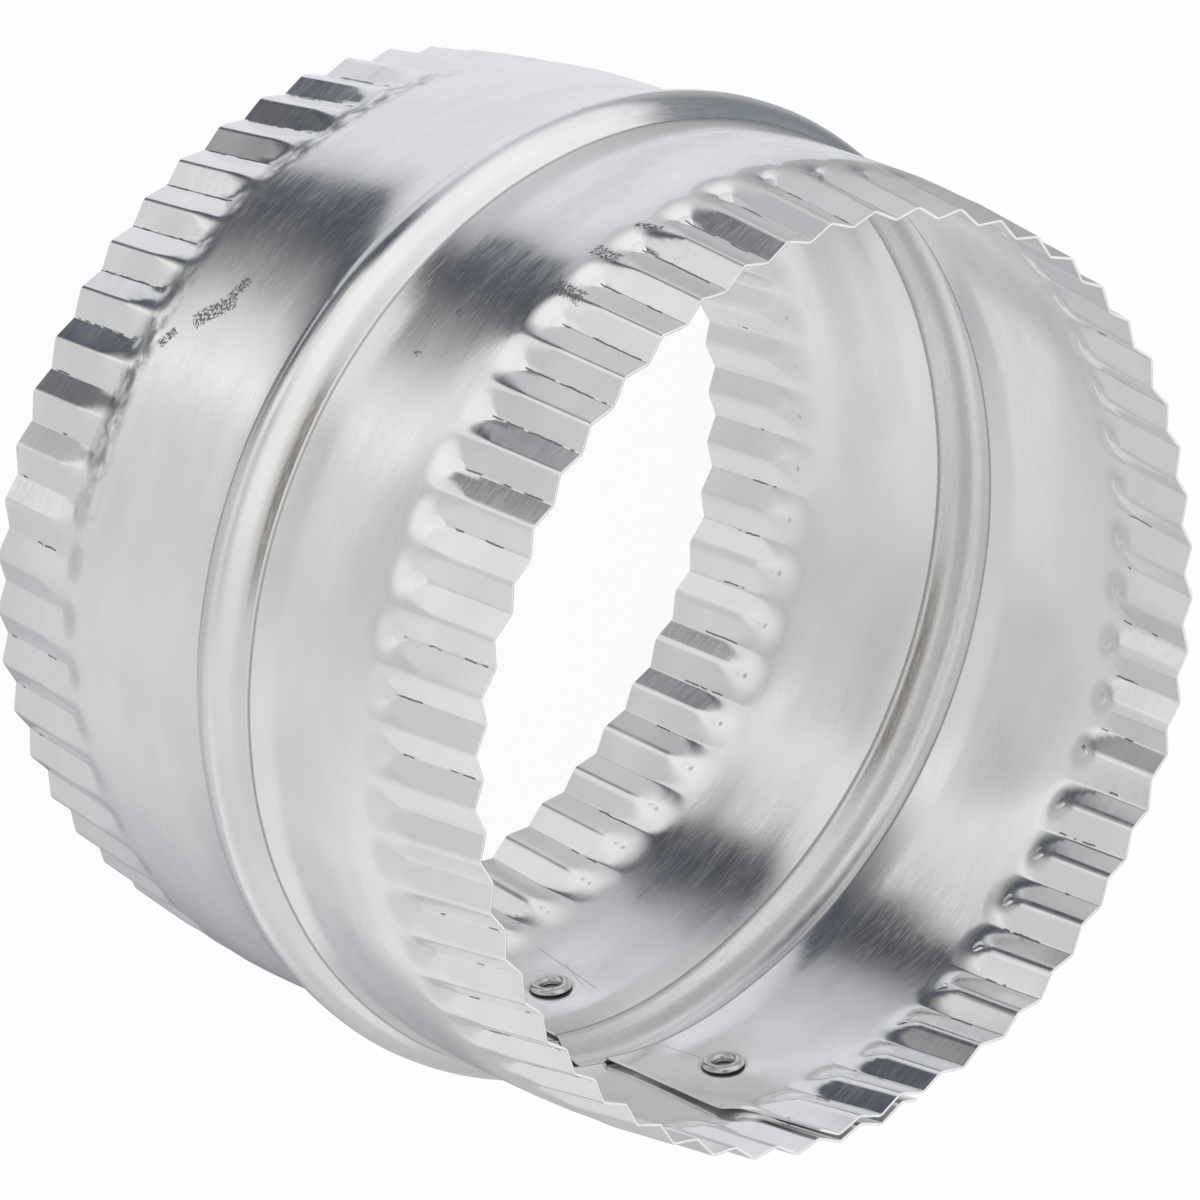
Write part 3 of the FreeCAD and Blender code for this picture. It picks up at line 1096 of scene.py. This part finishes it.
@dataclass
class Studio:
    """Plain white surroundings, as the bright metal sees them.

    What reflects reads the sky around the compass, counted in degrees from the camera's side,
    at six levels. What is lit diffusely and what the camera sees directly gets plain white.
    """

    floor_size: float = 3.0
    floor_colour: tuple = (0.93, 0.93, 0.93)
    floor_roughness: float = 0.9
    floor_glow: float = 0.93
    nadir: tuple = (
        (-180, 0.60, 0.61, 0.64), (-84, 0.55, 0.56, 0.59), (-68, 0.12, 0.13, 0.15),
        (-45, 0.10, 0.105, 0.12), (-25, 0.36, 0.36, 0.365), (10, 0.53, 0.53, 0.535),
        (40, 0.56, 0.56, 0.565), (62, 0.56, 0.56, 0.57), (130, 0.50, 0.49, 0.51),
        (180, 0.42, 0.41, 0.43),
    )
    low: tuple = (
        (-180, 0.82, 0.83, 0.86), (-84, 0.77, 0.78, 0.81), (-73.5, 0.56, 0.57, 0.60),
        (-70.5, 0.10, 0.11, 0.135), (-56, 0.083, 0.092, 0.115), (-48, 0.18, 0.18, 0.19),
        (-38, 0.36, 0.35, 0.35), (-29, 0.66, 0.655, 0.65), (-14, 0.93, 0.93, 0.92),
        (0, 0.72, 0.72, 0.715), (20, 0.70, 0.693, 0.70), (60, 0.67, 0.665, 0.67),
        (88, 0.65, 0.64, 0.655), (104, 0.57, 0.56, 0.58), (132, 0.48, 0.465, 0.49),
        (152, 0.36, 0.35, 0.37), (180, 0.20, 0.195, 0.21),
    )
    shallow: tuple = (
        (-180, 0.54, 0.53, 0.55), (-148, 0.44, 0.435, 0.44), (-130, 0.44, 0.435, 0.44),
        (-84, 0.60, 0.60, 0.62), (-68, 0.54, 0.54, 0.56), (-60.5, 0.17, 0.17, 0.19),
        (-55, 0.07, 0.075, 0.09), (-48, 0.085, 0.085, 0.095), (-41, 0.78, 0.77, 0.76),
        (-20, 0.81, 0.81, 0.80), (-6, 0.55, 0.545, 0.545), (28, 0.59, 0.585, 0.585),
        (44, 0.72, 0.72, 0.725), (80, 0.82, 0.815, 0.83), (110, 0.79, 0.785, 0.80),
        (126, 0.52, 0.52, 0.53), (180, 0.52, 0.515, 0.53),
    )
    middle: tuple = (
        (-180, 0.22, 0.235, 0.26), (-108, 0.22, 0.235, 0.26), (-102, 0.90, 0.91, 0.93),
        (-28, 0.93, 0.93, 0.92), (4, 0.87, 0.87, 0.86), (30, 0.73, 0.725, 0.72),
        (100, 0.66, 0.655, 0.66), (135, 0.52, 0.515, 0.52), (180, 0.45, 0.45, 0.45),
    )
    upper: tuple = (
        (-180, 0.95, 0.95, 0.95), (-135, 0.95, 0.95, 0.95), (-128, 0.22, 0.235, 0.26),
        (-108, 0.22, 0.235, 0.26), (-102, 0.95, 0.95, 0.95), (-28, 0.95, 0.95, 0.94),
        (4, 0.87, 0.87, 0.86), (30, 0.73, 0.725, 0.72), (100, 0.69, 0.685, 0.69),
        (130, 0.80, 0.80, 0.80), (180, 0.95, 0.95, 0.95),
    )
    high: tuple = (
        (-180, 0.95, 0.95, 0.95), (-140, 0.90, 0.90, 0.90), (-60, 0.82, 0.82, 0.82),
        (-28, 0.70, 0.70, 0.69), (4, 0.56, 0.555, 0.54), (36, 0.60, 0.595, 0.58),
        (70, 0.66, 0.655, 0.65), (140, 0.70, 0.70, 0.70), (170, 0.95, 0.95, 0.95),
        (180, 0.95, 0.95, 0.95),
    )
    blends: tuple = ((-0.93, -0.86), (-0.715, -0.695), (-0.66, -0.30), (-0.05, 0.08), (0.20, 0.62))
    lens_colour: tuple = (0.17, 0.15, 0.13)
    lens_middle: float = 5.0
    lens_side: tuple = (31.05, 22.95)
    lens_foot: tuple = (0.60, 0.64)
    lens_top: tuple = (0.95, 0.88)

    def world(self) -> None:
        """Set up the world's light."""
        world = bpy.data.worlds.new("white_studio")
        world.use_nodes = True
        bpy.context.scene.world = world
        tree = NodeTree(world.node_tree)
        world.node_tree.nodes.clear()
        direction = tree.add("ShaderNodeTexCoord").outputs["Generated"]
        sideways, along, rise = tree.add("ShaderNodeSeparateXYZ", {0: direction}).outputs
        turn = tree.math("ARCTAN2", sideways, tree.math("MULTIPLY", along, -1.0))
        share = tree.math("MULTIPLY_ADD", turn, 1 / (2 * math.pi), 0.5)
        sky = tree.ramp(share, self.nadir)
        levels = (self.low, self.shallow, self.middle, self.upper, self.high)
        for level, blend in zip(levels, self.blends):
            sky = tree.mix(tree.spread(rise, blend), sky, tree.ramp(share, level))
        lens = tree.spread(tree.off(tree.math("DEGREES", turn), self.lens_middle), self.lens_side)
        for edge in (self.lens_foot, self.lens_top):
            lens = tree.math("MULTIPLY", lens, tree.spread(rise, edge))
        sky = tree.mix(lens, sky, self.lens_colour)
        mirrored = tree.add("ShaderNodeLightPath").outputs["Is Glossy Ray"]
        seen = tree.mix(mirrored, WHITE, sky)
        background = tree.add("ShaderNodeBackground", {"Color": seen})
        tree.add("ShaderNodeOutputWorld", {"Surface": background.outputs[0]})

    def floor(self) -> None:
        """Make the pale floor, which mirrors don't see."""
        half = self.floor_size / 2
        corners = [(-half, -half, 0), (half, -half, 0), (half, half, 0), (-half, half, 0)]
        mesh = bpy.data.meshes.new("floor")
        mesh.from_pydata(corners, [], [(0, 1, 2, 3)])
        made = link_data("floor", mesh)
        material = bpy.data.materials.new("pale_floor")
        material.use_nodes = True
        tree = NodeTree(material.node_tree)
        shader = material.node_tree.nodes["Principled BSDF"]
        tree.fill(shader, {"Base Color": (*self.floor_colour, 1.0), "Specular IOR Level": 0.0,
                           "Roughness": self.floor_roughness})
        glow = tree.add("ShaderNodeEmission")
        camera = tree.add("ShaderNodeLightPath").outputs["Is Camera Ray"]
        share = tree.math("MULTIPLY", camera, self.floor_glow)
        both = tree.add("ShaderNodeMixShader",
                        {"Fac": share, 1: shader.outputs[0], 2: glow.outputs[0]})
        tree.fill(material.node_tree.nodes["Material Output"], {"Surface": both.outputs[0]})
        made.data.materials.append(material)
        made.visible_glossy = False

    def build(self) -> None:
        """Set up the world and the floor."""
        self.world()
        self.floor()
        bpy.context.scene.view_settings.view_transform = "Standard"


@dataclass
class PhotoCamera:
    """Camera at the photograph's viewing angle, which looks down on the part and is rolled."""

    aim: tuple = (1.18 * MM, 0.0, 38.5 * MM)
    distance: float = 980.0 * MM
    azimuth: float = -90.1
    elevation: float = 45.62
    roll: float = 111.84
    lens: float = 283.4
    sensor: float = 36.0

    def build(self) -> None:
        """Make the camera and set it as the scene's."""
        turn = math.radians(self.azimuth)
        rise = math.radians(self.elevation)
        level = math.cos(rise)
        back = Vector((math.cos(turn) * level, math.sin(turn) * level, math.sin(rise)))
        right = Vector((0, 0, 1)).cross(back).normalized()
        up = back.cross(right)
        roll = math.radians(self.roll)
        across = right * math.cos(roll) + up * math.sin(roll)
        upward = back.cross(across)
        data = bpy.data.cameras.new("photo_camera")
        data.lens = self.lens
        data.sensor_width = self.sensor
        made = link_data("photo_camera", data)
        axes = Matrix((across, upward, back)).transposed().to_4x4()
        made.matrix_world = Matrix.Translation(Vector(self.aim) + back * self.distance) @ axes
        bpy.context.scene.camera = made


def dress(piece: Object, material: Material, node: str) -> None:
    """Give a piece its material and let it stand for a node of the frame."""
    piece.data.materials.append(material)
    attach(piece, BODY)
    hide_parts(node)
    log.info("%s stands for %s, with %d faces", piece.name, node, len(piece.data.polygons))


def main() -> None:
    """Build the pieces, the studio and the camera in order."""
    logging.basicConfig(level=logging.INFO)
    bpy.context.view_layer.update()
    sleeve = DuctSleeve()
    relief = HandledMetal().group()
    aluminium = AluminiumFinish(sleeve).material(relief)
    zinc = ZincFinish().material(relief)

    dress(sleeve.build(), aluminium, "duct_sleeve")
    for name, node, height in zip(RIVET_PIECES, RIVET_NODES, sleeve.rivet_heights):
        inner_seat, outer_seat = sleeve.rivet_seats(height)
        rivet = LapRivet(name, height, outer_seat, inner_seat, sleeve.seam_angle)
        dress(rivet.build(), zinc, node)

    Studio().build()
    PhotoCamera().build()


if __name__ == "__main__":
    main()
